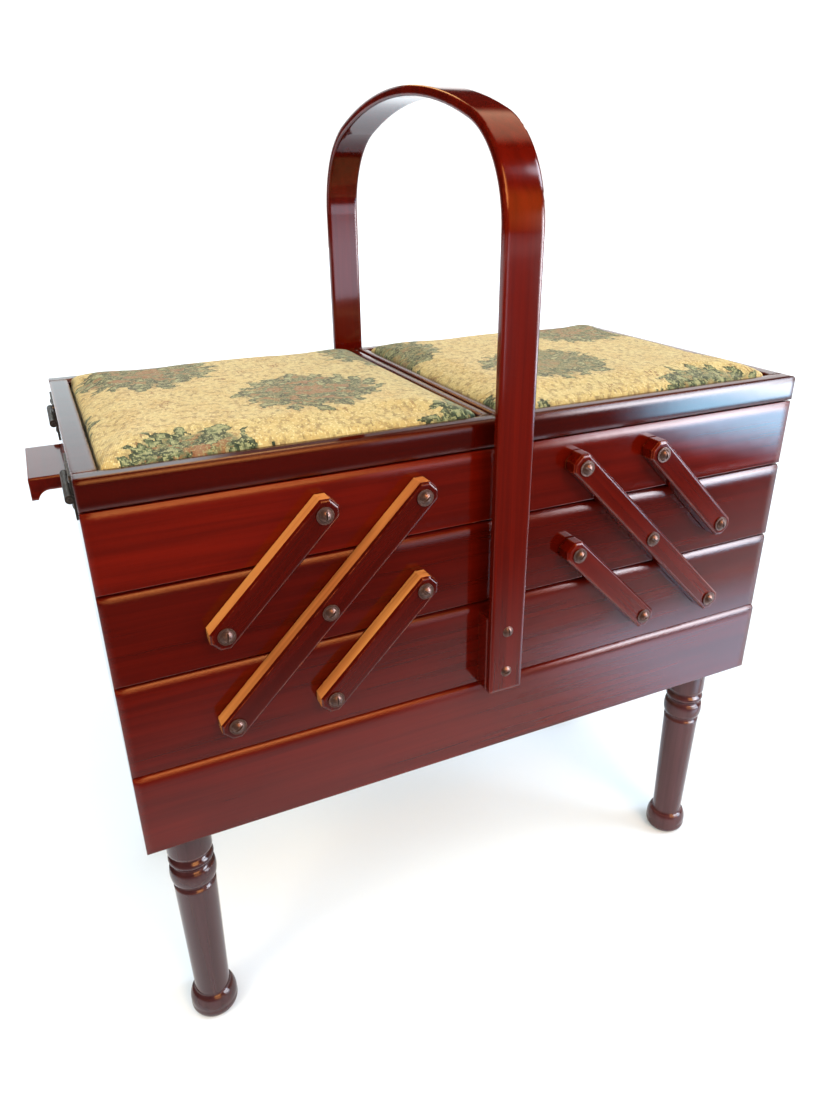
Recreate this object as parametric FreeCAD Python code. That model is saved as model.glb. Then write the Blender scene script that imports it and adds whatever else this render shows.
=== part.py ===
"""Cantilever sewing basket on four turned legs, with a bentwood carrying handle.

Frame: millimetres, origin on the floor under the centre of the box, X along the length,
Y towards the back, Z up. The rest pose is the closed basket.
"""
import FreeCAD, Part
import math
import os

Vector = FreeCAD.Vector

# ---- driving dimensions -------------------------------------------------------------------
HALF_LENGTH = 225.0          # box length 450
HALF_DEPTH = 115.0           # box depth 230
WALL = 8.0                   # board thickness of every tray and of the base
APRON_PROUD = 1.5            # the lowest boards stand this far in front of the others
UNDER_BOX = 174.0            # floor to the lower edge of the box
CENTRE_GAP = 0.5             # each half tray stops this far short of the middle

LOWER_BOARD = (174.0, 228.0)     # bottom and top of each tier
UPPER_BOARD = (228.0, 285.5)
MIDDLE_TRAY = (286.5, 339.0)
TOP_TRAY = (340.0, 383.5)
LID_FRAME = (384.5, 400.0)

EDGE_ROUND = 3.0             # rounded top edge of each tier
SOFT_EDGE = 0.8              # every other edge of the boards
GROOVE = 4.0                 # how far a bottom panel enters the boards
TRAY_PANEL = (2.0, 3.5)      # height above the tray's lower edge, and thickness
BASE_PANEL = (8.0, 5.0)

# pivots lie on a square lattice, so every arm leans at exactly 45 degrees
PITCH = 57.0
PIVOT_X = (53.0, 53.0 + PITCH, 53.0 + 2 * PITCH)
PIVOT_Z = (252.0, 252.0 + PITCH, 252.0 + 2 * PITCH)
ARM_WIDTH = 15.0
ARM_THICK = 10.0
ARM_GAP = 0.6                # between the back of an arm and the boards
ARM_OVERHANG = 8.5           # from the last pivot to the end of the arm
ARM_CLIP = 4.0               # clipped corners at the ends
ARM_EDGE = 1.2               # chamfer round the outer face

PIVOT_R = 2.0                # screw shank
RUNNING = 0.05               # radial clearance of a pivot
LOOSE = 0.15                 # radial clearance of a pivot that closes a linkage
SCREW_DEPTH = 6.5            # into the board
WASHER_R, WASHER_THICK = 4.8, 0.8
HEAD_R, HEAD_RISE = 3.8, 2.5
SLOT_WIDE, SLOT_DEEP = 1.1, 1.0
PLAY = 0.2                   # axial play of a washer

HANDLE_WIDE = 23.0
HANDLE_THICK = 5.5
HANDLE_HALF_SPAN = 131.0     # outer face
HANDLE_TOP = 570.5
HANDLE_SPRING = 498.0        # where the posts start to bend
HANDLE_CORNER_R = 60.0
HANDLE_FOOT = 229.0
HANDLE_EDGE = 1.3
BLOCK_TOP = 280.0
HANDLE_SCREW_Z = (242.5, 271.0)
HANDLE_SCREW_R = 1.8
HANDLE_HEAD_R, HANDLE_HEAD_RISE = 3.6, 2.0

LEG_X, LEG_Y = 199.5, 87.0
FOOT_TALL = 20.0             # turned foot at the end of the tapered column
LEG_TOP = 179.0
PLATE_HALF, PLATE_THICK = 14.5, 3.0
HANGER_R, HANGER_UP, HANGER_DOWN = 3.0, 8.0, 28.0

LID_RAIL = 12.0              # front, back and outer rails
LID_CENTRE_RAIL = 7.0        # rail next to the other lid
LID_PROUD = 0.5
LID_EDGE = 2.2
LID_PANEL = (1.5, 3.5)
PAD_TOP = 405.0
PAD_GAP = 0.3
PAD_ROUND = 6.0

PULL_HALF, PULL_REACH = 31.0, 21.0
PULL_TOP, PULL_ROOT, PULL_LIP = 377.0, 7.5, 12.5
PULL_LIP_WIDE = 3.5

HINGE_Y, HINGE_LENGTH = 73.0, 42.0
HINGE_Z = 384.0
BARREL_R, HINGE_PIN_R = 2.3, 1.0
BARREL_OUT = 2.4             # pin axis from the end of the box
LEAF_THICK, LEAF_TALL = 1.1, 11.5
KNUCKLES = 5
KNUCKLE_GAP = 0.2
HINGE_SCREW_R, HINGE_SCREW_RISE = 2.1, 0.7

nodes = {}


# ---- small helpers ------------------------------------------------------------------------
def block(x, y, z):
    """Box between the two values of each axis."""
    corner = Vector(min(x), min(y), min(z))
    return Part.makeBox(abs(x[1] - x[0]), abs(y[1] - y[0]), abs(z[1] - z[0]), corner)


def rod(radius, start, end):
    axis = end - start
    return Part.makeCylinder(radius, axis.Length, start, axis)


def mirrored(shape, axis):
    return shape.mirror(Vector(0, 0, 0), axis)


def both_ways(shape, axis):
    """A shape and its mirror image, as separate solids."""
    return [shape, mirrored(shape, axis)]


def group(shapes):
    solids = []
    for shape in shapes:
        solids += shape.Solids
    return Part.makeCompound(solids) if len(solids) > 1 else solids[0]


def fillet_where(shape, radius, chosen):
    edges = [edge for edge in shape.Edges if chosen(edge.CenterOfMass)]
    return shape.makeFillet(radius, edges)


def near(value, target):
    return abs(value - target) < 1e-3


ACROSS = Vector(1, 0, 0)
DEPTHWISE = Vector(0, 1, 0)


# ---- boards and trays ---------------------------------------------------------------------
def front_board(x, outer, inner, z, outer_ends, top_round):
    """Long board at the front. outer_ends are the X of the ends that show on the outside."""
    board = block(x, (-outer, -inner), z)
    board = fillet_where(board, top_round, lambda c: near(c.z, z[1]) and near(c.y, -outer))
    board = fillet_where(
        board, SOFT_EDGE,
        lambda c: near(c.y, -outer) and (near(c.z, z[0]) or any(near(c.x, end) for end in outer_ends)))
    return board


def end_board(outer_x, z, top_round):
    """Board at one end, between the long boards; outer_x carries the sign of the side."""
    inner_x = outer_x - math.copysign(WALL, outer_x)
    inside = HALF_DEPTH - WALL
    board = block((outer_x, inner_x), (-inside, inside), z)
    return fillet_where(board, top_round, lambda c: near(c.z, z[1]) and near(c.x, outer_x))


def bottom_panel(x, y_half, z, place):
    """Panel held in grooves; x and y_half are the inside faces of the boards."""
    low = z[0] + place[0]
    return block((x[0] - GROOVE, x[1] + GROOVE), (-y_half - GROOVE, y_half + GROOVE),
                 (low, low + place[1]))


def pivot_hole(x, z, radius, depth_from, depth_to):
    return rod(radius, Vector(x, depth_from, z), Vector(x, depth_to, z))


def drilled_board(board, pivots):
    for x, z in pivots:
        hole = pivot_hole(x, z, PIVOT_R, -HALF_DEPTH - WALL, -HALF_DEPTH + SCREW_DEPTH)
        board = board.cut(hole)
    return board


def half_tray(name, z, pivots, top_round):
    """Left half tray, from the outer end to the middle of the box."""
    x_outer, x_inner = -HALF_LENGTH, -CENTRE_GAP
    inside = HALF_DEPTH - WALL
    panel = bottom_panel((x_outer + WALL, x_inner - WALL), inside, z, TRAY_PANEL)
    front = front_board((x_outer, x_inner), HALF_DEPTH, inside, z, (x_outer,), top_round).cut(panel)
    front = drilled_board(front, pivots)
    outer = end_board(x_outer, z, top_round).cut(panel)
    inner = block((x_inner - WALL, x_inner), (-inside, inside), z).cut(panel)
    return {
        name + "_long_walls": group(both_ways(front, DEPTHWISE)),
        name + "_end_walls": group([outer, inner]),
        name + "_bottom": panel,
        name + "_pivot_screws": pivot_screws(pivots),
    }


# ---- screws -------------------------------------------------------------------------------
def dome(radius, rise):
    """Cap of a sphere on the XY plane, +Z up."""
    ball = (radius * radius + rise * rise) / (2 * rise)
    sphere = Part.makeSphere(ball, Vector(0, 0, rise - ball))
    return sphere.common(Part.makeCylinder(radius + 1, rise + 1))


def round_head(radius, rise, slot_angle):
    head = dome(radius, rise)
    slot = block((-radius - 1, radius + 1), (-SLOT_WIDE / 2, SLOT_WIDE / 2), (rise - SLOT_DEEP, rise + 1))
    slot.rotate(Vector(0, 0, 0), Vector(0, 0, 1), slot_angle)
    return head.cut(slot)


def facing_front(shape, x, y, z):
    """Turn a shape made along +Z so that it points to the front, and put it at a point."""
    shape.rotate(Vector(0, 0, 0), Vector(1, 0, 0), 90)
    shape.translate(Vector(x, y, z))
    return shape


def pivot_screw(x, z, slot_angle):
    """Round-head pivot screw through an arm, with its washer."""
    arm_face = HALF_DEPTH + ARM_GAP + ARM_THICK
    washer_face = arm_face + PLAY + WASHER_THICK
    washer = Part.makeCylinder(WASHER_R, WASHER_THICK).cut(Part.makeCylinder(PIVOT_R, WASHER_THICK))
    washer = facing_front(washer, x, -arm_face - PLAY, z)
    head = facing_front(round_head(HEAD_R, HEAD_RISE, slot_angle), x, -washer_face, z)
    shank = pivot_hole(x, z, PIVOT_R, -washer_face, -HALF_DEPTH + SCREW_DEPTH)
    return [head.fuse(shank), washer]


def pivot_screws(pivots):
    parts = []
    for index, (x, z) in enumerate(pivots):
        for piece in pivot_screw(x, z, 35.0 + 50.0 * index):
            parts += both_ways(piece, DEPTHWISE)
    return group(parts)


# ---- arms ---------------------------------------------------------------------------------
def arm(lower, steps, hole_radii):
    """Front arm leaning 45 degrees towards the middle, from its lower pivot up."""
    reach = steps * PITCH * math.sqrt(2)
    half, clip = ARM_WIDTH / 2, ARM_CLIP
    low, high = -ARM_OVERHANG, reach + ARM_OVERHANG
    outline = [(low + clip, -half), (high - clip, -half), (high, -half + clip), (high, half - clip),
               (high - clip, half), (low + clip, half), (low, half - clip), (low, -half + clip)]
    wire = Part.makePolygon([Vector(u, v, 0) for u, v in outline + outline[:1]])
    bar = Part.Face(wire).extrude(Vector(0, 0, ARM_THICK))
    outer_edges = [edge for edge in bar.Edges if near(edge.CenterOfMass.z, ARM_THICK)]
    bar = bar.makeChamfer(ARM_EDGE, outer_edges)
    for index, radius in enumerate(hole_radii):
        bar = bar.cut(rod(radius, Vector(index * PITCH * math.sqrt(2), 0, -1),
                          Vector(index * PITCH * math.sqrt(2), 0, ARM_THICK + 1)))
    bar.rotate(Vector(0, 0, 0), Vector(0, 0, 1), 45)
    return facing_front(bar, lower[0], -HALF_DEPTH - ARM_GAP, lower[1])


def arm_pair(name, lower, steps, hole_radii):
    front = arm(lower, steps, hole_radii)
    return {"front_" + name: front, "back_" + name: mirrored(front, DEPTHWISE)}


# ---- handle -------------------------------------------------------------------------------
def handle_line(inset):
    """Arch in the YZ plane, from the front foot over the top to the back foot."""
    corner_y = HANDLE_HALF_SPAN - HANDLE_CORNER_R
    rise = HANDLE_TOP - HANDLE_SPRING
    crown_r = (corner_y ** 2 + rise ** 2 - HANDLE_CORNER_R ** 2) / (2 * (rise - HANDLE_CORNER_R))
    crown_z = HANDLE_TOP - crown_r
    lean = math.atan2(corner_y, HANDLE_SPRING - crown_z)

    def corner_point(angle):
        radius = HANDLE_CORNER_R - inset
        return (corner_y + radius * math.cos(angle), HANDLE_SPRING + radius * math.sin(angle))

    half_turn = (math.pi / 2 - lean) / 2
    foot = (HANDLE_HALF_SPAN - inset, HANDLE_FOOT)
    bend_start, bend_middle, bend_end = (corner_point(k * half_turn) for k in (0, 1, 2))
    crown = (0.0, crown_z + crown_r - inset)

    def at(point, side):
        return Vector(0, side * point[0], point[1])

    return [
        Part.LineSegment(at(foot, -1), at(bend_start, -1)).toShape(),
        Part.Arc(at(bend_start, -1), at(bend_middle, -1), at(bend_end, -1)).toShape(),
        Part.Arc(at(bend_end, -1), at(crown, 1), at(bend_end, 1)).toShape(),
        Part.Arc(at(bend_end, 1), at(bend_middle, 1), at(bend_start, 1)).toShape(),
        Part.LineSegment(at(bend_start, 1), at(foot, 1)).toShape(),
    ]


def handle():
    outer, inner = handle_line(0), handle_line(HANDLE_THICK)
    feet = []
    for side in (1, -1):
        feet.append(Part.LineSegment(Vector(0, side * HANDLE_HALF_SPAN, HANDLE_FOOT),
                                     Vector(0, side * (HANDLE_HALF_SPAN - HANDLE_THICK), HANDLE_FOOT)).toShape())
    outline = Part.Wire(Part.__sortEdges__(outer + inner + feet))
    strip = Part.Face(outline).extrude(Vector(HANDLE_WIDE, 0, 0))
    strip.translate(Vector(-HANDLE_WIDE / 2, 0, 0))
    sides = [edge for edge in strip.Edges
             if near(abs(edge.CenterOfMass.x), HANDLE_WIDE / 2) and edge.CenterOfMass.z > HANDLE_FOOT + 1]
    return strip.makeFillet(HANDLE_EDGE, sides)


def handle_screws():
    screws = []
    for index, z in enumerate(HANDLE_SCREW_Z):
        head = round_head(HANDLE_HEAD_R, HANDLE_HEAD_RISE, 20.0 + 75.0 * index)
        head = facing_front(head, 0, -HANDLE_HALF_SPAN, z)
        shank = pivot_hole(0, z, HANDLE_SCREW_R, -HANDLE_HALF_SPAN, -HALF_DEPTH + SCREW_DEPTH)
        screws += both_ways(head.fuse(shank), DEPTHWISE)
    return screws


def handle_blocks():
    post_inner = HANDLE_HALF_SPAN - HANDLE_THICK
    spacer = block((-HANDLE_WIDE / 2, HANDLE_WIDE / 2), (-post_inner, -HALF_DEPTH), (HANDLE_FOOT, BLOCK_TOP))
    spacer = fillet_where(spacer, SOFT_EDGE, lambda c: near(abs(c.x), HANDLE_WIDE / 2) and near(c.y, -post_inner))
    return both_ways(spacer, DEPTHWISE)


# ---- legs ---------------------------------------------------------------------------------
def turned_leg():
    """Leg on the Z axis: collar, two grooves round a bead, a ring, a tapered column and a foot."""
    def at(radius, below):
        return Vector(radius, 0, UNDER_BOX - below)

    def line(a, b):
        return Part.LineSegment(at(*a), at(*b)).toShape()

    def arc(a, b, c):
        return Part.Arc(at(*a), at(*b), at(*c)).toShape()

    top = UNDER_BOX - LEG_TOP
    floor = UNDER_BOX
    foot = UNDER_BOX - FOOT_TALL
    outline = [
        line((0, top), (14.0, top)),
        line((14.0, top), (14.0, 29.5)),
        arc((14.0, 29.5), (11.8, 31.6), (13.3, 33.8)),
        arc((13.3, 33.8), (14.2, 35.8), (13.3, 37.8)),
        arc((13.3, 37.8), (11.8, 40.0), (14.0, 42.2)),
        arc((14.0, 42.2), (14.7, 47.4), (14.0, 52.6)),
        arc((14.0, 52.6), (11.8, 55.0), (13.4, 57.4)),
        line((13.4, 57.4), (11.6, foot)),
        arc((11.6, foot), (12.2, foot + 1.4), (13.5, foot + 2.0)),
        arc((13.5, foot + 2.0), (15.5, foot + 7.5), (15.5, foot + 12.0)),
        arc((15.5, foot + 12.0), (14.8, floor - 2.6), (12.0, floor)),
        line((12.0, floor), (0, floor)),
        line((0, floor), (0, top)),
    ]
    leg = Part.Face(Part.Wire(outline)).revolve(Vector(0, 0, 0), Vector(0, 0, 1), 360)
    return leg.cut(rod(HANGER_R, Vector(0, 0, LEG_TOP - HANGER_DOWN), Vector(0, 0, LEG_TOP + 1)))


def leg_corners():
    return {"front_left": (-LEG_X, -LEG_Y), "front_right": (LEG_X, -LEG_Y),
            "back_left": (-LEG_X, LEG_Y), "back_right": (LEG_X, LEG_Y)}


def leg_parts():
    parts, plates, hangers = {}, [], []
    for corner, (x, y) in leg_corners().items():
        leg = turned_leg()
        leg.translate(Vector(x, y, 0))
        parts["leg_" + corner] = leg
        plate = block((x - PLATE_HALF, x + PLATE_HALF), (y - PLATE_HALF, y + PLATE_HALF),
                      (LEG_TOP, LEG_TOP + PLATE_THICK))
        plate = fillet_where(plate, 3.0, lambda c: near(c.z, LEG_TOP + PLATE_THICK / 2))
        hanger = rod(HANGER_R, Vector(x, y, LEG_TOP - HANGER_DOWN), Vector(x, y, LEG_TOP + HANGER_UP))
        plates.append(plate.cut(hanger))
        hangers.append(hanger)
    parts["leg_plates"] = group(plates)
    parts["leg_hanger_bolts"] = group(hangers)
    return parts


# ---- base ---------------------------------------------------------------------------------
def base():
    inside = HALF_DEPTH - WALL
    inside_x = HALF_LENGTH - WALL
    ends = (-HALF_LENGTH, HALF_LENGTH)
    panel = bottom_panel((-inside_x, inside_x), inside, LOWER_BOARD, BASE_PANEL)
    lower = front_board(ends, HALF_DEPTH + APRON_PROUD, inside, LOWER_BOARD, ends, EDGE_ROUND).cut(panel)
    upper = front_board(ends, HALF_DEPTH, inside, UPPER_BOARD, ends, EDGE_ROUND)
    upper = drilled_board(upper, base_pivots())
    for z in HANDLE_SCREW_Z:
        upper = upper.cut(pivot_hole(0, z, HANDLE_SCREW_R, -HALF_DEPTH - 1, -HALF_DEPTH + SCREW_DEPTH))
    left_end = end_board(-HALF_LENGTH, (LOWER_BOARD[0], UPPER_BOARD[1]), EDGE_ROUND).cut(panel)
    for x, y in leg_corners().values():
        panel = panel.cut(rod(HANGER_R, Vector(x, y, LEG_TOP), Vector(x, y, LEG_TOP + HANGER_UP)))

    screws = handle_screws()
    strip, blocks = handle(), handle_blocks()
    for screw in screws:
        strip = strip.cut(screw)
        blocks = [spacer.cut(screw) for spacer in blocks]
    return {
        "base_lower_long_walls": group(both_ways(lower, DEPTHWISE)),
        "base_upper_long_walls": group(both_ways(upper, DEPTHWISE)),
        "base_end_walls": group(both_ways(left_end, ACROSS)),
        "base_bottom_panel": panel,
        "base_pivot_screws": pivot_screws(base_pivots()),
        "handle": strip,
        "handle_spacer_blocks": group(blocks),
        "handle_screws": group(screws),
    }


def base_pivots():
    """Lower pivots of the long and lower short arms, on both sides."""
    left = [(-PIVOT_X[2], PIVOT_Z[0]), (-PIVOT_X[1], PIVOT_Z[0])]
    return left + [(-x, z) for x, z in left]


# ---- lids, pulls and hinges ---------------------------------------------------------------
def lid():
    """Left lid: frame of four rails, panel in a groove, and pad."""
    x_outer, x_inner = -HALF_LENGTH, -CENTRE_GAP
    open_x = (x_outer + LID_RAIL, x_inner - LID_CENTRE_RAIL)
    outer_y = HALF_DEPTH + LID_PROUD
    open_y = outer_y - LID_RAIL
    panel = bottom_panel(open_x, open_y, LID_FRAME, LID_PANEL)
    front = front_board((x_outer, x_inner), outer_y, open_y, LID_FRAME, (x_outer,), LID_EDGE)
    front = fillet_where(front, LID_EDGE / 2, lambda c: near(c.z, LID_FRAME[1]) and near(c.y, -open_y))
    outer = block((x_outer, open_x[0]), (-open_y, open_y), LID_FRAME)
    outer = fillet_where(outer, LID_EDGE / 2,
                         lambda c: near(c.z, LID_FRAME[1]) and not near(abs(c.y), open_y))
    centre = block((open_x[1], x_inner), (-open_y, open_y), LID_FRAME)
    centre = fillet_where(centre, LID_EDGE / 2,
                          lambda c: near(c.z, LID_FRAME[1]) and not near(abs(c.y), open_y))
    rails = both_ways(front.cut(panel), DEPTHWISE) + [outer.cut(panel), centre.cut(panel)]
    pad_low = LID_FRAME[0] + sum(LID_PANEL)
    pad = block((open_x[0] + PAD_GAP, open_x[1] - PAD_GAP), (-open_y + PAD_GAP, open_y - PAD_GAP),
                (pad_low, PAD_TOP))
    pad = fillet_where(pad, PAD_ROUND, lambda c: near(c.z, PAD_TOP))
    return {"lid_frame": group(rails), "lid_panel": panel, "lid_pad": pad}


def end_pull():
    """Finger pull on the outer end of the top tray, hollowed underneath behind its lip."""
    root, tip = -HALF_LENGTH, -HALF_LENGTH - PULL_REACH
    under, lip = PULL_TOP - PULL_ROOT, PULL_TOP - PULL_LIP
    lip_in = tip + PULL_LIP_WIDE
    cove_in = lip_in + (under - lip) * 1.5

    def at(x, z):
        return Vector(x, -PULL_HALF, z)

    cove_middle = at(lip_in + (cove_in - lip_in) * 0.32, lip + (under - lip) * 0.72)
    outline = [
        Part.LineSegment(at(root, PULL_TOP), at(tip, PULL_TOP)).toShape(),
        Part.LineSegment(at(tip, PULL_TOP), at(tip, lip)).toShape(),
        Part.LineSegment(at(tip, lip), at(lip_in, lip)).toShape(),
        Part.Arc(at(lip_in, lip), cove_middle, at(cove_in, under)).toShape(),
        Part.LineSegment(at(cove_in, under), at(root, under)).toShape(),
        Part.LineSegment(at(root, under), at(root, PULL_TOP)).toShape(),
    ]
    pull = Part.Face(Part.Wire(outline)).extrude(Vector(0, 2 * PULL_HALF, 0))
    return fillet_where(pull, SOFT_EDGE, lambda c: near(c.z, PULL_TOP) and not near(c.x, root))


def hinge(y_centre):
    """One butt hinge on the left end: tray leaf, lid leaf, pin and the screws of each leaf."""
    axis_x = -HALF_LENGTH - BARREL_OUT
    low = y_centre - HINGE_LENGTH / 2
    step = HINGE_LENGTH / KNUCKLES

    def barrel(radius, index, trim):
        return rod(radius, Vector(axis_x, low + index * step + trim, HINGE_Z),
                   Vector(axis_x, low + (index + 1) * step - trim, HINGE_Z))

    def leaf(up, own, other):
        plate_z = (HINGE_Z + up * 0.6, HINGE_Z + up * LEAF_TALL)
        shape = block((-HALF_LENGTH - LEAF_THICK, -HALF_LENGTH), (low, low + HINGE_LENGTH), plate_z)
        shape = fillet_where(shape, 2.0,
                             lambda c: near(c.z, plate_z[1]) and near(c.x, -HALF_LENGTH - LEAF_THICK / 2))
        for index in own:
            shape = shape.fuse(barrel(BARREL_R, index, KNUCKLE_GAP / 2))
        for index in other:
            shape = shape.cut(barrel(BARREL_R + KNUCKLE_GAP, index, -KNUCKLE_GAP / 2))
        return shape

    def screws(up):
        heads = []
        for side in (-1, 1):
            y = y_centre + side * HINGE_LENGTH / 4
            z = HINGE_Z + up * LEAF_TALL * 0.6
            head = dome(HINGE_SCREW_R, HINGE_SCREW_RISE)
            head.rotate(Vector(0, 0, 0), Vector(0, 1, 0), -90)
            head.translate(Vector(-HALF_LENGTH - LEAF_THICK, y, z))
            heads.append(head)
        return heads

    tray_knuckles = range(0, KNUCKLES, 2)
    lid_knuckles = range(1, KNUCKLES, 2)
    pin = rod(HINGE_PIN_R, Vector(axis_x, low, HINGE_Z), Vector(axis_x, low + HINGE_LENGTH, HINGE_Z))
    loose_pin = rod(HINGE_PIN_R + RUNNING, Vector(axis_x, low - 1, HINGE_Z),
                    Vector(axis_x, low + HINGE_LENGTH + 1, HINGE_Z))
    return {
        "hinge_tray_leaves": leaf(-1, tray_knuckles, lid_knuckles).cut(pin),
        "hinge_lid_leaves": leaf(1, lid_knuckles, tray_knuckles).cut(loose_pin),
        "hinge_pins": pin,
        "hinge_tray_screws": screws(-1),
        "hinge_lid_screws": screws(1),
    }


def hinges():
    found = {}
    for y in (-HINGE_Y, HINGE_Y):
        for name, shape in hinge(y).items():
            found.setdefault(name, []).extend(shape if isinstance(shape, list) else [shape])
    return {name: group(shapes) for name, shapes in found.items()}


# ---- the left side, and its mirror image --------------------------------------------------
def left_side():
    (x1, x2, x3), (z1, z2, z3) = [-x for x in PIVOT_X], PIVOT_Z
    run, loose = PIVOT_R + RUNNING, PIVOT_R + LOOSE
    parts = {}
    parts.update(half_tray("middle_tray", MIDDLE_TRAY, [(x2, z2), (x3, z2), (x1, z2)], EDGE_ROUND))
    parts.update(half_tray("top_tray", TOP_TRAY, [(x1, z3), (x2, z3)], SOFT_EDGE))
    parts.update(arm_pair("long_arm", (x3, z1), 2, (run, run, run)))
    parts.update(arm_pair("lower_short_arm", (x2, z1), 1, (run, loose)))
    parts.update(arm_pair("upper_short_arm", (x3, z2), 1, (run, loose)))
    parts.update(lid())
    parts.update(hinges())
    parts["end_pull"] = end_pull()
    return parts


nodes.update(base())
nodes.update(leg_parts())
for part_name, part_shape in left_side().items():
    nodes["left_" + part_name] = part_shape
    nodes["right_" + part_name] = mirrored(part_shape, ACROSS)

os.makedirs("parts", exist_ok=True)
for node_name, node_shape in nodes.items():
    if not node_shape.isValid():
        raise SystemExit("invalid shape: " + node_name)
    node_shape.exportStep("parts/" + node_name + ".step")
print(len(nodes), "nodes")
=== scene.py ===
import bpy
import bmesh
import math
from mathutils import Matrix, Vector


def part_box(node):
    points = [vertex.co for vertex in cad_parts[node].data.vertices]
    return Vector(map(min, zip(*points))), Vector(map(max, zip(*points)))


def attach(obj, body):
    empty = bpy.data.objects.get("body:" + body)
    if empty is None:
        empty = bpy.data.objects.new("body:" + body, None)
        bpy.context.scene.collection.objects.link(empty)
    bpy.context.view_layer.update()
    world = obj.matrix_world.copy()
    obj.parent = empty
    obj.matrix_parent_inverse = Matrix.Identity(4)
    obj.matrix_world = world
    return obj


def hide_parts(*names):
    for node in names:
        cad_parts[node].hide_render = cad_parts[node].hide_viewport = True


# Looks for the cantilever sewing basket: lacquered mahogany, padded tapestry lids, bronzed screws.
# Every rigid piece keeps its CAD mesh and gets a material here. The two lid pads are new pieces.
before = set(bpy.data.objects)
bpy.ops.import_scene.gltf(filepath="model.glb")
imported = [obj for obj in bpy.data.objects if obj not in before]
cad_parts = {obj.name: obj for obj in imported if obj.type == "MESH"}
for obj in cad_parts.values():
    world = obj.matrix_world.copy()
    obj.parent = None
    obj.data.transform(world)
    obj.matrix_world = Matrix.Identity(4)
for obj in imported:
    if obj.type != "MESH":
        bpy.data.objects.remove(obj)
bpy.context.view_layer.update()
MM = 0.001

# ---- camera, in the row frame (metres and degrees) ------------------------------------------
CAMERA_PLACE = Vector((-0.2283, -0.4917, 0.5244))
CAMERA_YAW = 24.58           # from +Y towards +X
CAMERA_PITCH = 25.04         # downwards
CAMERA_ROLL = -0.69
CAMERA_LENS = 26.35
SENSOR = 36.0

# ---- colours, linear ------------------------------------------------------------------------
BOARD_STAIN = ((0.034, 0.0020, 0.0006), (0.076, 0.0042, 0.0010))
LEG_STAIN = ((0.024, 0.0095, 0.0100), (0.041, 0.0170, 0.0195))
# lighter edge colour: rubbed-down stain, also used as a painted edge highlight
STAIN_WORN_AND_LIT = (0.26, 0.080, 0.030)
BARE_AND_LIT_SIDE = (0.44, 0.215, 0.070)     # sides of the left arms: a lighter, thinly stained wood, plus painted warm light falling on them from the upper left
PLY_DARK = (0.34, 0.19, 0.09)
PLY_PALE = (0.56, 0.37, 0.20)
CREAM = (0.325, 0.290, 0.138)
CREAM_WARM = (0.290, 0.236, 0.100)
CREAM_PALE = (0.400, 0.378, 0.205)
TAN = (0.150, 0.122, 0.058)
TWIG = (0.10, 0.045, 0.018)
LEAF_DARK = (0.010, 0.022, 0.013)
LEAF_MID = (0.050, 0.075, 0.040)
LEAF_PALE = (0.195, 0.220, 0.118)
RUST = (0.14, 0.060, 0.028)
ROSE = (0.17, 0.105, 0.060)
OLIVE = (0.125, 0.100, 0.042)
BRONZE = (0.10, 0.060, 0.050)
BRONZE_RUBBED = (0.30, 0.22, 0.19)
STEEL_DULL = (0.060, 0.055, 0.052)
STEEL_RUBBED = (0.22, 0.20, 0.18)
ZINC = (0.55, 0.55, 0.53)

# ---- wood finish ----------------------------------------------------------------------------
ALONG_X, ALONG_Y, ALONG_Z = (0, 0, 0), (0, 0, 90), (0, 90, 0)     # turns that lay the grain along an axis
ALONG_ARM = {"left": (0, 45, 0), "right": (0, -45, 0)}
STREAK_SCALE = (5.0, 190.0, 190.0)   # noise steps per metre, along and across the grain
PORE_SCALE = (16.0, 950.0, 950.0)
CLOUD_SCALE = (9.0, 22.0, 22.0)
# each tier's stain depth: partly the boards' own stain, partly painted light and shade
BOARD_TONE = {"left_top_tray": 1.15, "right_top_tray": 1.1, "left_middle_tray": 0.80,
              "right_middle_tray": 0.80, "base_upper": 0.85, "base_lower": 0.95}
# the left arms' stain is made darker than the right arms' as painted shade
ARM_TONE_PAINTED_SHADE = {"left": 0.65, "right": 0.95}
# the right legs' stain is scaled up 1.6 times as a painted sheen
LEG_TONE_PAINTED_SHEEN = {"left": 1.0, "right": 1.6}
# the lid frames' stain depth: partly their own stain, partly painted shade
LID_TONE = 0.5
BOARD_CURVE = 9.0 * MM       # how far in from an edge the lacquer starts to curve over it
LID_CURVE = 5.0 * MM
ARM_CURVE = 1.5 * MM
OTHER_CURVE = 2.5 * MM

# ---- the room as the lacquer reflects it ----------------------------------------------------
DOME_RADIUS = 30.0
WHITE = (1.0, 0.995, 0.985)
ROOM = (0.020, 0.018, 0.017)
BACKDROP = (1.20, 1.20, 1.20)
GLOWS = (                    # azimuth from +Y towards +X, height, inner and outer radius in degrees; colour
    (-2, 15, 10, 14, (1.15, 1.35, 1.40)),
    (12, 37, 7, 13, (4.2, 2.6, 1.2)),
    (55, 58, 12, 26, (1.6, 1.15, 0.8)),
    (150, 17, 7, 20, (1.9, 0.60, 0.12)),
    (120, 36, 11, 13, (12.0, 13.5, 15.5)),
    (171, 40, 11, 18, (10.0, 4.8, 1.7)),
)

# ---- soft cards that only the lacquer reflects: middle, direction they face, size, colour ----
CARDS = {
    "low_window": ((0.695, -0.566, 0.235), (-0.752, 0.659, 0.0), (0.42, 0.21), (4.8, 9.6, 13.0)),
    "high_window": ((0.675, -0.580, 0.268), (-0.752, 0.659, 0.0), (0.44, 0.10), (15.0, 17.0, 20.0)),
    "ledge_lamp": ((0.50, -0.52, 0.47), (-0.55, 0.65, -0.30), (0.42, 0.40), (20.0, 20.5, 22.0)),
    "table_shine": ((0.48, -0.35, 0.004), (0.0, 0.0, 1.0), (0.60, 0.26), (2.3, 3.1, 3.9)),
    "far_post_shine": ((0.64, -1.6, 0.24), (-0.35, 0.93, 0.0), (0.46, 0.62), (3.0, 3.2, 3.8)),
}

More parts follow.
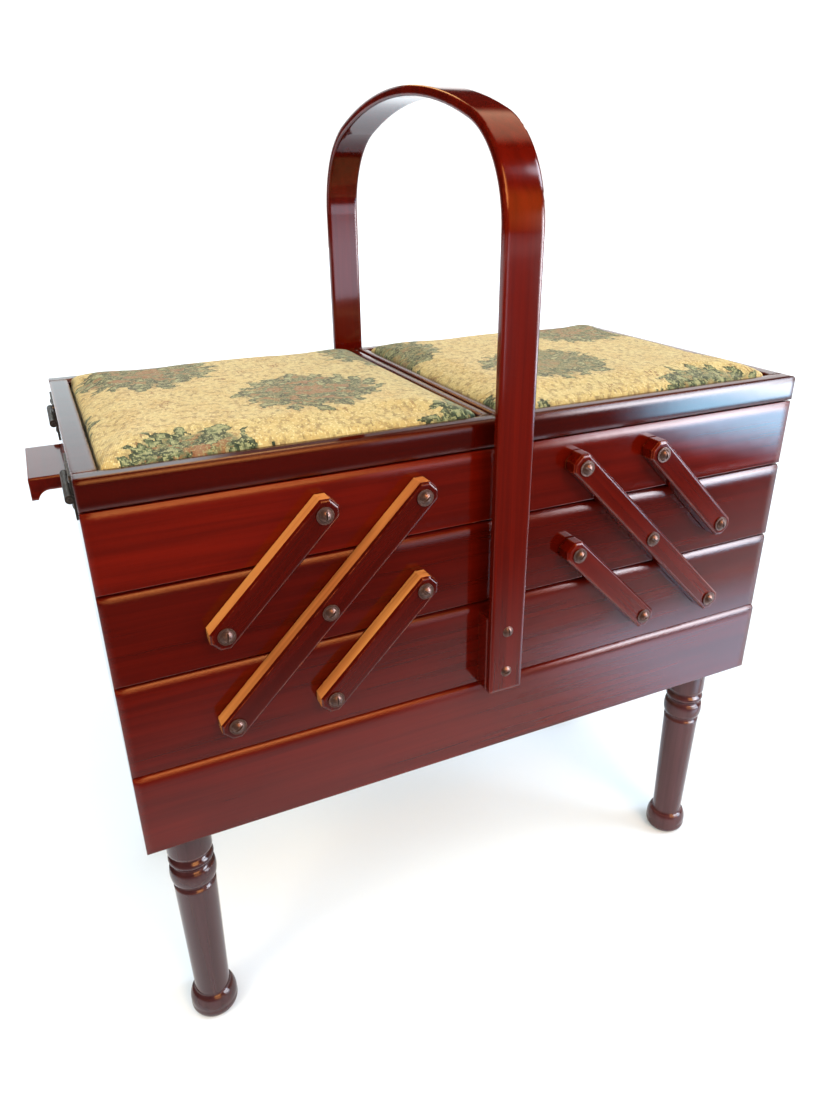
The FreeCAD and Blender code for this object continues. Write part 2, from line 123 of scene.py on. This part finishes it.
# ---- floor and lamps ------------------------------------------------------------------------
FLOOR_HALF = 6.0
FLOOR_TONES = ((0.47, 0.56, 0.64), (0.49, 0.58, 0.66))
FLOOR_GLOW = (0.9, 3.0, 0.06, 0.6)   # two distances, and how much the paper glows at each
DARK_CARD = ((-4.0, 4.0), (-5.0, -0.05), 0.002)      # x, y and z of the unlit room in front
LAMPS = {                    # place, aim, size, watts, colour
    "ceiling": ((0.2, 0.3, 5.0), (0.2, 0.3, 0.0), (11.0, 11.0), 250.0, (1.0, 0.99, 0.97)),
    "warm_left": ((-1.55, -0.75, 1.45), (-0.1, -0.1, 0.3), (0.7, 0.7), 21.0, (1.0, 0.76, 0.50)),
    "front_fill": ((-0.6, -2.4, 0.9), (0.0, 0.0, 0.25), (2.2, 1.4), 14.0, (1.0, 0.98, 0.95)),
    "warm_front": ((0.30, -1.85, 1.70), (0.0, 0.0, 0.25), (0.9, 0.9), 34.0, (1.0, 0.50, 0.20)),
    "cool_front": ((1.70, -1.00, 1.60), (0.0, 0.0, 0.25), (0.9, 0.9), 24.0, (0.80, 0.90, 1.0)),
    "right_fill": ((2.2, -0.9, 0.9), (0.0, 0.0, 0.25), (1.6, 1.4), 20.0, (0.90, 0.95, 1.0)),
}

# ---- fabric pattern, millimetres ------------------------------------------------------------
REPEAT = (166.0, 178.0)      # one lattice of clusters; the other is half a repeat away both ways
CLUSTER_AT = (-2.0, 57.0)
THREAD = (0.80, 0.62)
LEAF_RINGS = (               # how many, how far out, length, width, tilt, first angle
    (17, 37.5, 6.2, 3.0, 35.0, 0.3),
    (15, 34.0, 6.0, 2.8, -45.0, 0.9),
    (12, 29.0, 6.5, 3.2, 15.0, 1.4),
    (9, 23.0, 6.0, 3.0, -60.0, 0.1),
    (7, 15.5, 6.0, 3.0, 50.0, 2.0),
)
FLOWER_RINGS = (             # the same, for petals
    (5, 7.0, 5.0, 3.4, 0.0, 0.5),
    (5, 19.0, 4.6, 4.2, 30.0, 2.4),
)
WANDER = 34.0                # how far leaves stray from their rings, peak to peak
SHRINK = 0.93                # distances are multiplied by this, so the clusters grow by its inverse

# ---- pads -----------------------------------------------------------------------------------
PAD_INSET = 0.2 * MM
PAD_EDGE = 3.0 * MM          # softness of the pad's edges before it swells
PAD_START_TALL = 0.90        # share of the CAD pad's height before it swells
PAD_VOXEL = 4.0 * MM
PAD_CAP = 6.5 * MM
PAD_PROUD = 3.0 * MM         # how far the crown may stand above the CAD pad
PAD_GAP = 0.3 * MM           # kept free between the swollen pad and the CAD pad's sides
PAD_HELD = 0.30              # share of the CAD pad's height that is held still
SWELL_STEPS = 20


# ---- node helpers ---------------------------------------------------------------------------
class Tree:
    """Short calls for building a material's nodes."""

    def __init__(self, owner):
        owner.use_nodes = True
        self.tree = owner.node_tree
        self.tree.nodes.clear()

    def add(self, kind, inputs=(), **settings):
        made = self.tree.nodes.new(kind)
        for key, value in settings.items():
            setattr(made, key, value)
        for key, value in dict(inputs).items():
            self.put(made.inputs[key], value)
        return made

    def put(self, socket, value):
        if isinstance(value, bpy.types.Node):
            value = value.outputs[0]
        if isinstance(value, bpy.types.NodeSocket):
            self.tree.links.new(value, socket)
        elif isinstance(value, tuple) and len(value) == 3 and socket.type == "RGBA":
            socket.default_value = (*value, 1.0)
        else:
            socket.default_value = value

    def math(self, operation, first, second=0.0, third=0.0, clamp=False):
        return self.add("ShaderNodeMath", {0: first, 1: second, 2: third},
                        operation=operation, use_clamp=clamp)

    def vector(self, operation, first, second=(0, 0, 0)):
        made = self.add("ShaderNodeVectorMath", {0: first, 1: second}, operation=operation)
        return made.outputs["Value"] if operation in ("LENGTH", "DOT_PRODUCT") else made.outputs["Vector"]

    def scaled(self, source, scale, turn=(0, 0, 0), shift=(0, 0, 0)):
        radians = tuple(math.radians(angle) for angle in turn)
        turned = self.add("ShaderNodeMapping", {"Vector": source, "Rotation": radians, "Location": shift})
        return self.vector("MULTIPLY", turned, scale)

    def noise(self, vector, scale=1.0, detail=3.0, rough=0.55, distortion=0.0):
        return self.add("ShaderNodeTexNoise", {"Vector": vector, "Scale": scale, "Detail": detail,
                                               "Roughness": rough, "Distortion": distortion})

    def step(self, value, low, high, to_low=0.0, to_high=1.0):
        """Smooth step of a value between two limits."""
        made = self.add("ShaderNodeMapRange", {"Value": value, "From Min": low, "From Max": high,
                                               "To Min": to_low, "To Max": to_high},
                        interpolation_type="SMOOTHSTEP")
        return made.outputs["Result"]

    def mix(self, factor, first, second, blend="MIX"):
        made = self.add("ShaderNodeMix", data_type="RGBA", blend_type=blend)
        self.put(made.inputs[0], factor)
        self.put(made.inputs[6], first)
        self.put(made.inputs[7], second)
        return made.outputs[2]

    def bump(self, height, strength, distance, under=None):
        inputs = {"Height": height, "Strength": strength, "Distance": distance}
        if under is not None:
            inputs["Normal"] = under
        return self.add("ShaderNodeBump", inputs)

    def axes(self, source):
        return self.add("ShaderNodeSeparateXYZ", {0: source}).outputs

    def ridge(self, source, centre=0.5):
        """Distance of a value from a level, which is 0 along a line of the noise."""
        return self.math("ABSOLUTE", self.math("SUBTRACT", source, centre))

    def object_place(self):
        return self.add("ShaderNodeTexCoord").outputs["Object"]

    def edge_sharpness(self, radius):
        """0 on a flat face, more the closer the point is to an edge."""
        rounded = self.add("ShaderNodeBevel", {"Radius": radius}, samples=4)
        flat = self.add("ShaderNodeNewGeometry").outputs["Normal"]
        return self.math("SUBTRACT", 1.0, self.vector("DOT_PRODUCT", rounded, flat))

    def surface(self, **inputs):
        named = {key.replace("_", " "): value for key, value in inputs.items()}
        shader = self.add("ShaderNodeBsdfPrincipled", named)
        self.add("ShaderNodeOutputMaterial", {"Surface": shader})


def new_material(name):
    made = bpy.data.materials.new(name)
    return made, Tree(made)


# ---- materials ------------------------------------------------------------------------------
def lacquered(name, turn, shift, tone_scale=1.0, worn_and_lit=0.5, bare_lit_sides=False, stain=BOARD_STAIN,
              curve=OTHER_CURVE, upper_edge_only=False):
    """Stained and lacquered mahogany; the turn lays its grain, the shift varies it piece by piece."""
    material, t = new_material(name)
    deep, lit = (tuple(tone_scale * c for c in colour) for colour in stain)
    place = t.object_place()
    streaks = t.noise(t.scaled(place, STREAK_SCALE, turn, shift), detail=5.0, rough=0.6, distortion=0.5)
    lines = t.noise(t.scaled(place, PORE_SCALE, turn, shift), detail=3.0, rough=0.6)
    cloud = t.noise(t.scaled(place, CLOUD_SCALE, turn, shift), detail=3.0)
    tone = t.mix(t.step(streaks, 0.30, 0.70, 0.40, 1.0), deep, lit)
    tone = t.mix(t.step(cloud, 0.40, 0.80, 0.0, 0.35), tone, deep)
    tone = t.mix(t.step(lines, 0.50, 0.80, 0.0, 0.14), tone, tuple(c * 0.6 for c in deep))
    # the stain is rubbed down along the edges, and that lighter edge colour is also a painted highlight
    sharp = t.edge_sharpness(1.6 * MM)
    rub = t.noise(t.scaled(place, (60.0, 60.0, 60.0), turn, shift), detail=4.0, rough=0.7)
    rubbed = t.math("MULTIPLY", t.step(sharp, 0.02, 0.30), t.step(rub, 0.42, 0.66, 0.0, worn_and_lit))
    tone = t.mix(rubbed, tone, STAIN_WORN_AND_LIT)
    face_normal = t.add("ShaderNodeNewGeometry").outputs["Normal"]
    # on the left arms' sides the wood is lighter, and lightened further as painted warm light
    if bare_lit_sides:
        facing = t.math("ABSOLUTE", t.axes(face_normal)["Y"])
        thin_and_lit = t.math("MULTIPLY", t.step(facing, 0.62, 0.35), t.step(streaks, 0.25, 0.60, 0.55, 1.0))
        tone = t.mix(thin_and_lit, tone, t.mix(t.step(cloud, 0.35, 0.65, 0.0, 0.55), BARE_AND_LIT_SIDE, STAIN_WORN_AND_LIT))
    smudge = t.noise(t.scaled(place, (28.0, 28.0, 28.0)), detail=4.0, rough=0.65)
    height = t.math("MULTIPLY_ADD", lines, 0.15, cloud)
    grain = t.bump(height, 0.06, 0.5 * MM)
    # the lacquer runs in a soft curve over every edge
    softened = t.add("ShaderNodeBevel", {"Radius": curve}, samples=8)
    if upper_edge_only:
        rounded = t.axes(softened)
        raised = t.math("MAXIMUM", rounded["Z"], t.axes(face_normal)["Z"])
        turned = t.add("ShaderNodeCombineXYZ", {0: rounded["X"], 1: rounded["Y"], 2: raised})
        softened = t.vector("NORMALIZE", turned)
    ripple = t.noise(t.scaled(place, (40.0, 40.0, 40.0)), detail=2.0)
    film = t.bump(ripple, 0.07, 1.0 * MM, under=softened)
    t.surface(Base_Color=tone, Roughness=t.step(smudge, 0.3, 0.75, 0.34, 0.50), Normal=grain,
              Specular_IOR_Level=0.0, Coat_Weight=1.0, Coat_Roughness=0.09, Coat_Normal=film)
    return material


def plywood(name, turn):
    """Plain unstained plywood, its grain laid by the turn."""
    material, t = new_material(name)
    place = t.object_place()
    figure = t.noise(t.scaled(place, (4.0, 60.0, 60.0), turn), detail=5.0, rough=0.6, distortion=1.2)
    pores = t.noise(t.scaled(place, (30.0, 1100.0, 1100.0), turn), detail=2.0)
    tone = t.mix(t.step(figure, 0.3, 0.7), PLY_DARK, PLY_PALE)
    tone = t.mix(t.step(pores, 0.60, 0.72, 0.0, 0.5), tone, PLY_DARK)
    t.surface(Base_Color=tone, Roughness=t.step(figure, 0.2, 0.8, 0.55, 0.72),
              Normal=t.bump(pores, 0.15, 0.3 * MM))
    return material


def metal(name, dark, rubbed, rough, metallic=1.0):
    """Plated metal with handling marks; edges and high spots are rubbed bright."""
    material, t = new_material(name)
    place = t.object_place()
    marks = t.noise(t.scaled(place, (420.0, 420.0, 420.0)), detail=4.0, rough=0.7)
    scratches = t.noise(t.scaled(place, (2600.0, 300.0, 900.0)), detail=2.0)
    edges = t.step(t.edge_sharpness(0.4 * MM), 0.03, 0.3, 0.0, 0.7)
    rub = t.math("ADD", t.step(marks, 0.50, 0.72, 0.0, 0.45), edges, clamp=True)
    t.surface(Base_Color=t.mix(rub, dark, rubbed), Metallic=metallic,
              Roughness=t.step(scratches, 0.3, 0.7, rough - 0.08, rough + 0.12),
              Normal=t.bump(marks, 0.12, 0.1 * MM))
    return material


def cluster_place(t, place):
    """Millimetres from the middle of the nearest foliage cluster, and a number that differs by cluster."""
    flat = t.vector("MULTIPLY", place, (1000.0, 1000.0, 0.0))
    # one step per thread, so that outlines run in small stairs as a woven pattern does
    flat = t.add("ShaderNodeVectorMath", {0: flat, 1: (*THREAD, 1.0)}, operation="SNAP").outputs[0]
    local, ids = [], []
    for half in (0.0, 0.5):
        origin = tuple(-at - half * span for at, span in zip(CLUSTER_AT, REPEAT)) + (0.0,)
        moved = t.vector("ADD", flat, origin)
        wide, deep = (span / 2 for span in REPEAT)
        wrapped = t.add("ShaderNodeVectorMath", {0: moved, 1: (wide, deep, 1.0), 2: (-wide, -deep, -1.0)},
                        operation="WRAP").outputs[0]
        local.append(wrapped)
        ids.append(t.vector("SUBTRACT", moved, wrapped))
    nearer = t.math("LESS_THAN", t.vector("LENGTH", local[1]), t.vector("LENGTH", local[0]))
    where = t.mix(nearer, local[0], local[1])
    which = t.mix(nearer, ids[0], t.vector("ADD", ids[1], (37.0, 11.0, 5.0)))
    chance = t.add("ShaderNodeTexWhiteNoise", {"Vector": t.vector("SNAP", which, (3.0, 3.0, 3.0))},
                   noise_dimensions="3D")
    return flat, where, chance


def ring(t, where, count, radius, length, width, tilt, phase):
    """Distance to the nearest of a ring of leaves: under 1 is inside a leaf."""
    axes = t.axes(where)
    angle = t.math("ADD", t.math("ARCTAN2", axes[1], axes[0]), phase)
    sector = 2 * math.pi / count
    folded = t.math("WRAP", angle, sector / 2, -sector / 2)
    out = t.vector("LENGTH", where)
    along = t.math("SUBTRACT", t.math("MULTIPLY", out, t.math("COSINE", folded)), radius)
    across = t.math("MULTIPLY", out, t.math("SINE", folded))
    c, s = math.cos(math.radians(tilt)), math.sin(math.radians(tilt))
    forward = t.math("MULTIPLY_ADD", along, c / length, t.math("MULTIPLY", across, s / length))
    sideways = t.math("MULTIPLY_ADD", along, -s / width, t.math("MULTIPLY", across, c / width))
    # pointed ends: the width narrows with the distance from the leaf's middle
    return t.math("ADD", t.math("ABSOLUTE", sideways), t.math("MULTIPLY", forward, forward))


def nearest(t, drawn, rings):
    """Distance to the nearest leaf or petal of several rings: under 1 is inside one."""
    shape = ring(t, drawn, *rings[0])
    for values in rings[1:]:
        shape = t.math("MINIMUM", shape, ring(t, drawn, *values))
    return shape


def cloth_ground(t, flat):
    """Mottled cream with small tan curls and a few brown twigs."""
    cloud = t.noise(t.vector("MULTIPLY", flat, (0.05, 0.05, 0.0)), detail=3.0, rough=0.6)
    fleck = t.noise(t.vector("MULTIPLY", flat, (0.30, 0.22, 0.0)), detail=3.0, rough=0.6)
    curls = t.noise(t.vector("MULTIPLY", flat, (0.085, 0.085, 0.0)), detail=2.0, distortion=1.4)
    curl = t.step(t.ridge(curls), 0.030, 0.008)
    grit = t.noise(t.vector("MULTIPLY", flat, (0.75, 0.60, 0.0)), detail=2.0, rough=0.6)
    ground = t.mix(t.step(cloud, 0.35, 0.70), CREAM, CREAM_WARM)
    ground = t.mix(t.step(grit, 0.52, 0.64, 0.0, 0.9), ground, CREAM_PALE)
    ground = t.mix(t.step(fleck, 0.50, 0.62, 0.0, 0.62), ground, TAN)
    ground = t.mix(t.math("MULTIPLY", curl, t.step(fleck, 0.38, 0.58, 0.15, 0.75)), ground, TAN)
    twigs = t.noise(t.vector("MULTIPLY", flat, (0.20, 0.045, 0.0)), detail=2.0, distortion=0.6)
    groves = t.noise(t.vector("MULTIPLY", flat, (0.028, 0.040, 0.0)), detail=1.0)
    twig = t.math("MULTIPLY", t.step(groves, 0.60, 0.66), t.step(t.ridge(twigs), 0.022, 0.010))
    return t.mix(t.math("MULTIPLY", twig, 0.7), ground, TWIG)


def tapestry(name):
    """Cream woven cloth with small leaf scribbles and half-drop clusters of leaves and flowers."""
    material, t = new_material(name)
    place = t.object_place()
    flat, where, chance = cluster_place(t, place)
    chance = chance.outputs["Value"]
    wobble = t.noise(t.vector("MULTIPLY", flat, (0.045, 0.045, 0.0)), detail=3.0, rough=0.7)
    wobble = t.vector("SUBTRACT", wobble.outputs["Color"], (0.5, 0.5, 0.5))
    wobble = t.vector("MULTIPLY", wobble, (WANDER, WANDER, 0.0))
    drawn = t.vector("MULTIPLY", t.vector("ADD", where, wobble), (SHRINK, SHRINK, 0.0))
    leaf = nearest(t, drawn, LEAF_RINGS)
    flower = nearest(t, drawn, FLOWER_RINGS)
    ground = cloth_ground(t, flat)

    speck = t.noise(t.vector("MULTIPLY", flat, (0.55, 0.55, 0.0)), detail=2.0, rough=0.7)
    patch = t.noise(t.vector("MULTIPLY", flat, (0.14, 0.14, 0.0)), detail=2.0)
    green = t.mix(t.step(leaf, 0.10, 0.80), LEAF_PALE, LEAF_MID)
    green = t.mix(t.step(leaf, 0.75, 1.0), green, LEAF_DARK)
    green = t.mix(t.step(patch, 0.46, 0.54, 0.0, 0.8), green, LEAF_DARK)
    green = t.mix(t.step(speck, 0.53, 0.60, 0.0, 0.9), green, LEAF_PALE)
    warm = t.mix(t.step(chance, 0.35, 0.65), RUST, OLIVE)
    bloom = t.mix(t.step(flower, 0.2, 0.9), ROSE, warm)
    bloom = t.mix(t.step(speck, 0.52, 0.60, 0.0, 0.5), bloom, LEAF_PALE)
    heart = t.step(t.vector("LENGTH", drawn), 38.0, 31.0)
    inner = t.mix(t.step(patch, 0.42, 0.54), t.mix(0.30, warm, OLIVE), LEAF_MID)
    inner = t.mix(t.step(speck, 0.50, 0.60, 0.0, 0.7), inner, LEAF_PALE)
    shaded = t.mix(t.math("MULTIPLY", heart, t.step(speck, 0.30, 0.46, 0.55, 0.95)), ground, inner)
    colour = t.mix(t.step(leaf, 1.10, 0.92), shaded, green)
    # every cluster has flowers, but they show less in some than in others
    shown = t.math("MULTIPLY", t.step(flower, 1.10, 0.92), t.step(chance, 0.1, 0.9, 0.9, 0.45))
    colour = t.mix(shown, colour, bloom)

    # plain weave: each thread is a rounded ridge, with a little unevenness
    across = t.axes(t.vector("MULTIPLY", place, (1000.0, 1000.0, 0.0)))
    ridges = []
    for axis, pitch in enumerate(THREAD):
        wave = t.math("SINE", t.math("MULTIPLY", across[axis], math.pi / pitch))
        ridges.append(t.math("ABSOLUTE", wave))
    fuzz = t.noise(t.scaled(place, (1800.0, 1800.0, 1800.0)), detail=2.0)
    weave = t.math("MULTIPLY_ADD", ridges[0], ridges[1], t.math("MULTIPLY", fuzz, 0.3))
    # the gaps between threads are darkened as painted shade
    colour = t.mix(t.step(weave, 0.0, 0.9, 0.30, 0.0), colour, t.mix(0.5, colour, TAN, "MULTIPLY"))
    t.surface(Base_Color=colour, Roughness=t.step(fuzz, 0.2, 0.8, 0.75, 0.95), Specular_IOR_Level=0.2,
              Normal=t.bump(weave, 0.55, 0.25 * MM), Sheen_Weight=0.12, Sheen_Roughness=0.5)
    return material


# ---- what each CAD node is made of ----------------------------------------------------------
def dress(node, material):
    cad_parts[node].data.materials[0] = material


def wood_finish(node):
    """What differs from one wooden node to another, or None where the node isn't stained wood."""
    side = node.split("_")[0]
    if node.endswith("_long_walls"):
        tier = node.removesuffix("_long_walls")
        return {"turn": ALONG_X, "tone_scale": BOARD_TONE[tier], "curve": BOARD_CURVE,
                "upper_edge_only": True}
    if node.endswith("_lid_frame"):
        return {"turn": ALONG_X, "tone_scale": LID_TONE, "curve": LID_CURVE}
    if node.endswith("_end_walls"):
        return {"turn": ALONG_Y}
    if node.endswith("_end_pull"):
        return {"turn": ALONG_Y, "worn_and_lit": 0.7}
    if node.endswith("_arm"):
        return {"turn": ALONG_ARM[side], "tone_scale": ARM_TONE_PAINTED_SHADE[side], "worn_and_lit": 1.0,
                "bare_lit_sides": side == "left", "curve": ARM_CURVE}
    if node.startswith(("leg_front", "leg_back")):
        return {"turn": ALONG_Z, "stain": LEG_STAIN, "tone_scale": LEG_TONE_PAINTED_SHEEN[node.split("_")[2]]}
    if node == "handle":
        return {"turn": ALONG_Z, "worn_and_lit": 0.7}
    if node == "handle_spacer_blocks":
        return {"turn": ALONG_Z}
    return None


def dress_wood():
    for number, node in enumerate(sorted(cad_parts), start=1):
        finish = wood_finish(node)
        if finish:
            shift = 0.37 * number
            dress(node, lacquered("wood_" + node, shift=(shift, 0.4 * shift, 0.7 * shift), **finish))


def dress_rest():
    ply_long = plywood("ply_long", ALONG_X)
    ply_deep = plywood("ply_deep", ALONG_Y)
    bronze = metal("bronzed_screws", BRONZE, BRONZE_RUBBED, 0.36, metallic=0.75)
    steel = metal("dull_hinges", STEEL_DULL, STEEL_RUBBED, 0.42, metallic=0.6)
    zinc = metal("zinc_fittings", ZINC, tuple(min(1.0, 1.3 * c) for c in ZINC), 0.32)
    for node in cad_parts:
        if node.endswith("_bottom") or node == "base_bottom_panel":
            dress(node, ply_long)
        elif node.endswith("_lid_panel"):
            dress(node, ply_deep)
        elif "hinge" in node:
            dress(node, steel)
        elif "screws" in node:
            dress(node, bronze)
        elif node in ("leg_plates", "leg_hanger_bolts"):
            dress(node, zinc)


# ---- lid pads -------------------------------------------------------------------------------
def pad_block(name, low, high):
    """Closed block the pad is blown up from, its top edges softened."""
    mesh = bpy.data.meshes.new(name)
    shape = bmesh.new()
    bmesh.ops.create_cube(shape, size=1.0)
    size = high - low
    middle = (high + low) / 2
    for vert in shape.verts:
        vert.co = Vector(c * s + m for c, s, m in zip(vert.co, size, middle))
    rims = [edge for edge in shape.edges if all(vert.co.z > middle.z for vert in edge.verts)]
    bmesh.ops.bevel(shape, geom=rims, offset=PAD_EDGE, segments=4, profile=0.5, affect="EDGES")
    shape.to_mesh(mesh)
    shape.free()
    pad = bpy.data.objects.new(name, mesh)
    bpy.context.scene.collection.objects.link(pad)
    return pad


def apply_modifiers(obj):
    graph = bpy.context.evaluated_depsgraph_get()
    graph.update()
    done = bpy.data.meshes.new_from_object(obj.evaluated_get(graph))
    obj.modifiers.clear()
    old = obj.data
    obj.data = done
    bpy.data.meshes.remove(old)


def inflate(pad, low, high):
    """Blow the pad up like stuffed cloth, held down round its lower edge."""
    remesh = pad.modifiers.new("voxels", "REMESH")
    remesh.mode = "VOXEL"
    remesh.voxel_size = PAD_VOXEL
    apply_modifiers(pad)
    held = pad.vertex_groups.new(name="held")
    floor_line = low.z + PAD_HELD * (high.z - low.z)
    held.add([v.index for v in pad.data.vertices if v.co.z < floor_line], 1.0, "REPLACE")
    start = [v.co.copy() for v in pad.data.vertices]
    cloth = pad.modifiers.new("cloth", "CLOTH")
    cloth.settings.quality = 5
    cloth.settings.mass = 0.3
    cloth.settings.tension_stiffness = 12
    cloth.settings.bending_stiffness = 4
    cloth.settings.use_pressure = True
    cloth.settings.uniform_pressure_force = 4.0
    cloth.settings.vertex_group_mass = "held"
    cloth.settings.effector_weights.gravity = 0.0
    scene = bpy.context.scene
    for step in range(1, SWELL_STEPS + 1):
        scene.frame_set(step)
    apply_modifiers(pad)
    scene.frame_set(1)
    for vert, before in zip(pad.data.vertices, start):
        move = vert.co - before
        if move.length > PAD_CAP:
            vert.co = before + move * (PAD_CAP / move.length)


def settle(pad, low, high):
    """Keep the swollen pad inside its lid frame, and its crown under its limit."""
    for vert in pad.data.vertices:
        vert.co.x = min(max(vert.co.x, low.x + PAD_GAP), high.x - PAD_GAP)
        vert.co.y = min(max(vert.co.y, low.y + PAD_GAP), high.y - PAD_GAP)
        vert.co.z = min(max(vert.co.z, low.z), high.z + PAD_PROUD)


def lid_pad(side, fabric):
    node = side + "_lid_pad"
    low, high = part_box(node)
    inset = Vector((PAD_INSET, PAD_INSET, 0))
    top = low.z + PAD_START_TALL * (high.z - low.z)
    pad = pad_block(side + "_pad_cover", low + inset, Vector((high.x, high.y, top)) - inset)
    inflate(pad, low, high)
    settle(pad, low, high)
    smooth = pad.modifiers.new("smooth", "SUBSURF")
    smooth.levels = smooth.render_levels = 1
    apply_modifiers(pad)
    for face in pad.data.polygons:
        face.use_smooth = True
    pad.data.materials.clear()
    pad.data.materials.append(fabric)
    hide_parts(node)
    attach(pad, side + "_lid")


# ---- studio ---------------------------------------------------------------------------------
def camera():
    data = bpy.data.cameras.new("camera")
    data.lens = CAMERA_LENS
    data.sensor_width = SENSOR
    data.clip_start = 0.01
    eye = bpy.data.objects.new("camera", data)
    turn = (Matrix.Rotation(math.radians(-CAMERA_YAW), 4, "Z")
            @ Matrix.Rotation(math.radians(90.0 - CAMERA_PITCH), 4, "X")
            @ Matrix.Rotation(math.radians(CAMERA_ROLL), 4, "Z"))
    eye.matrix_world = Matrix.Translation(CAMERA_PLACE) @ turn
    bpy.context.scene.collection.objects.link(eye)
    bpy.context.scene.camera = eye


def area_light(name, place, aim, size, watts, colour):
    """Soft lamp that lights the object and isn't mirrored in the lacquer."""
    data = bpy.data.lights.new(name, "AREA")
    data.shape = "RECTANGLE"
    data.size, data.size_y = size
    data.energy = watts
    data.color = colour
    lamp = bpy.data.objects.new(name, data)
    lamp.location = place
    lamp.rotation_euler = (Vector(aim) - Vector(place)).to_track_quat("-Z", "Y").to_euler()
    lamp.visible_glossy = False
    bpy.context.scene.collection.objects.link(lamp)


def plane(name, x, y, z, material):
    mesh = bpy.data.meshes.new(name)
    corners = [(x[0], y[0], z), (x[1], y[0], z), (x[1], y[1], z), (x[0], y[1], z)]
    mesh.from_pydata(corners, [], [(0, 1, 2, 3)])
    mesh.materials.append(material)
    made = bpy.data.objects.new(name, mesh)
    bpy.context.scene.collection.objects.link(made)
    return made


def reflected_only(obj):
    """Staging that shows only as a reflection."""
    obj.visible_camera = False
    obj.visible_diffuse = False
    obj.visible_shadow = False


def soft_card(name, middle, facing, size, colour):
    """Glowing card whose light fades out towards its edges."""
    material, t = new_material(name)
    axes = t.axes(t.add("ShaderNodeTexCoord").outputs["UV"])
    fade = [t.math("MULTIPLY", t.step(axes[axis], 0.0, 0.35), t.step(axes[axis], 1.0, 0.65))
            for axis in (0, 1)]
    glow = t.add("ShaderNodeEmission", {"Color": colour})
    clear = t.add("ShaderNodeBsdfTransparent")
    faded = t.add("ShaderNodeMixShader", {0: t.math("MULTIPLY", *fade), 1: clear, 2: glow})
    t.add("ShaderNodeOutputMaterial", {"Surface": faded})
    mesh = bpy.data.meshes.new(name)
    w, h = (side / 2 for side in size)
    mesh.from_pydata([(-w, -h, 0), (w, -h, 0), (w, h, 0), (-w, h, 0)], [], [(0, 1, 2, 3)])
    flat = mesh.uv_layers.new(name="flat")
    for loop, corner in zip(flat.data, ((0, 0), (1, 0), (1, 1), (0, 1))):
        loop.uv = corner
    mesh.materials.append(material)
    card = bpy.data.objects.new(name, mesh)
    card.location = middle
    card.rotation_euler = Vector(facing).to_track_quat("Z", "Y").to_euler()
    bpy.context.scene.collection.objects.link(card)
    reflected_only(card)


def heading(azimuth, height):
    """Unit vector at an azimuth from +Y towards +X and a height above the horizon, both in degrees."""
    level = math.cos(math.radians(height))
    return Vector((level * math.sin(math.radians(azimuth)), level * math.cos(math.radians(azimuth)),
                   math.sin(math.radians(height))))


def room():
    """Dome that only the lacquer reflects: a dim room, a white backdrop behind the basket, and glows."""
    material, t = new_material("room")
    way = t.vector("NORMALIZE", t.object_place())
    low = t.step(t.axes(way)["Z"], 0.325, 0.26)
    right = t.step(t.vector("DOT_PRODUCT", way, heading(75, 0)), -0.10, 0.05)
    back = t.step(t.vector("DOT_PRODUCT", way, heading(15, 0)), -0.25, 0.10)
    shade = t.mix(t.math("MULTIPLY", low, t.math("MULTIPLY", right, back)), ROOM, BACKDROP)
    for azimuth, height, inner, outer, colour in GLOWS:
        near = t.vector("DOT_PRODUCT", way, heading(azimuth, height))
        inside = t.step(near, math.cos(math.radians(outer)), math.cos(math.radians(inner)))
        shade = t.mix(inside, shade, colour)
    t.add("ShaderNodeOutputMaterial", {"Surface": t.add("ShaderNodeEmission", {"Color": shade})})
    mesh = bpy.data.meshes.new("room")
    shape = bmesh.new()
    bmesh.ops.create_icosphere(shape, subdivisions=5, radius=DOME_RADIUS)
    shape.to_mesh(mesh)
    shape.free()
    mesh.materials.append(material)
    dome = bpy.data.objects.new("room", mesh)
    bpy.context.scene.collection.objects.link(dome)
    reflected_only(dome)


def white_world():
    world = bpy.data.worlds.new("studio")
    t = Tree(world)
    background = t.add("ShaderNodeBackground", {"Color": WHITE, "Strength": 1.0})
    t.add("ShaderNodeOutputWorld", {"Surface": background})
    bpy.context.scene.world = world


def floor():
    paper, t = new_material("paper")
    place = t.object_place()
    # the sweep glows further out, so that its edge doesn't show against the white room
    glow = t.step(t.vector("LENGTH", place), *FLOOR_GLOW)
    tone = t.mix(t.noise(t.scaled(place, (2.0, 2.0, 2.0))), *FLOOR_TONES)
    t.surface(Base_Color=tone, Roughness=0.9, Specular_IOR_Level=0.1,
              Emission_Color=WHITE, Emission_Strength=glow)
    plane("floor", (-FLOOR_HALF, FLOOR_HALF), (-FLOOR_HALF, FLOOR_HALF), 0.0, paper)


def dark_front():
    """The room beyond the table's front edge, which only the lacquer reflects."""
    dark, t = new_material("dark_room")
    ahead = t.vector("DOT_PRODUCT", t.object_place(), (0.25, 1.0, 0.0))
    t.surface(Base_Color=(0.008, 0.008, 0.009), Roughness=1.0, Specular_IOR_Level=0.0,
              Alpha=t.step(ahead, -0.22, -0.64, 0.0, 0.93))
    reflected_only(plane("dark_card", *DARK_CARD, dark))


def studio():
    floor()
    dark_front()
    room()
    white_world()
    for name, values in CARDS.items():
        soft_card(name, *values)
    for name, values in LAMPS.items():
        area_light(name, *values)
    bpy.context.scene.view_settings.view_transform = "Standard"
    bpy.context.scene.view_settings.look = "Medium High Contrast"


camera()
studio()
dress_wood()
dress_rest()
lid_cloth = tapestry("tapestry")
for lid_side in ("left", "right"):
    lid_pad(lid_side, lid_cloth)
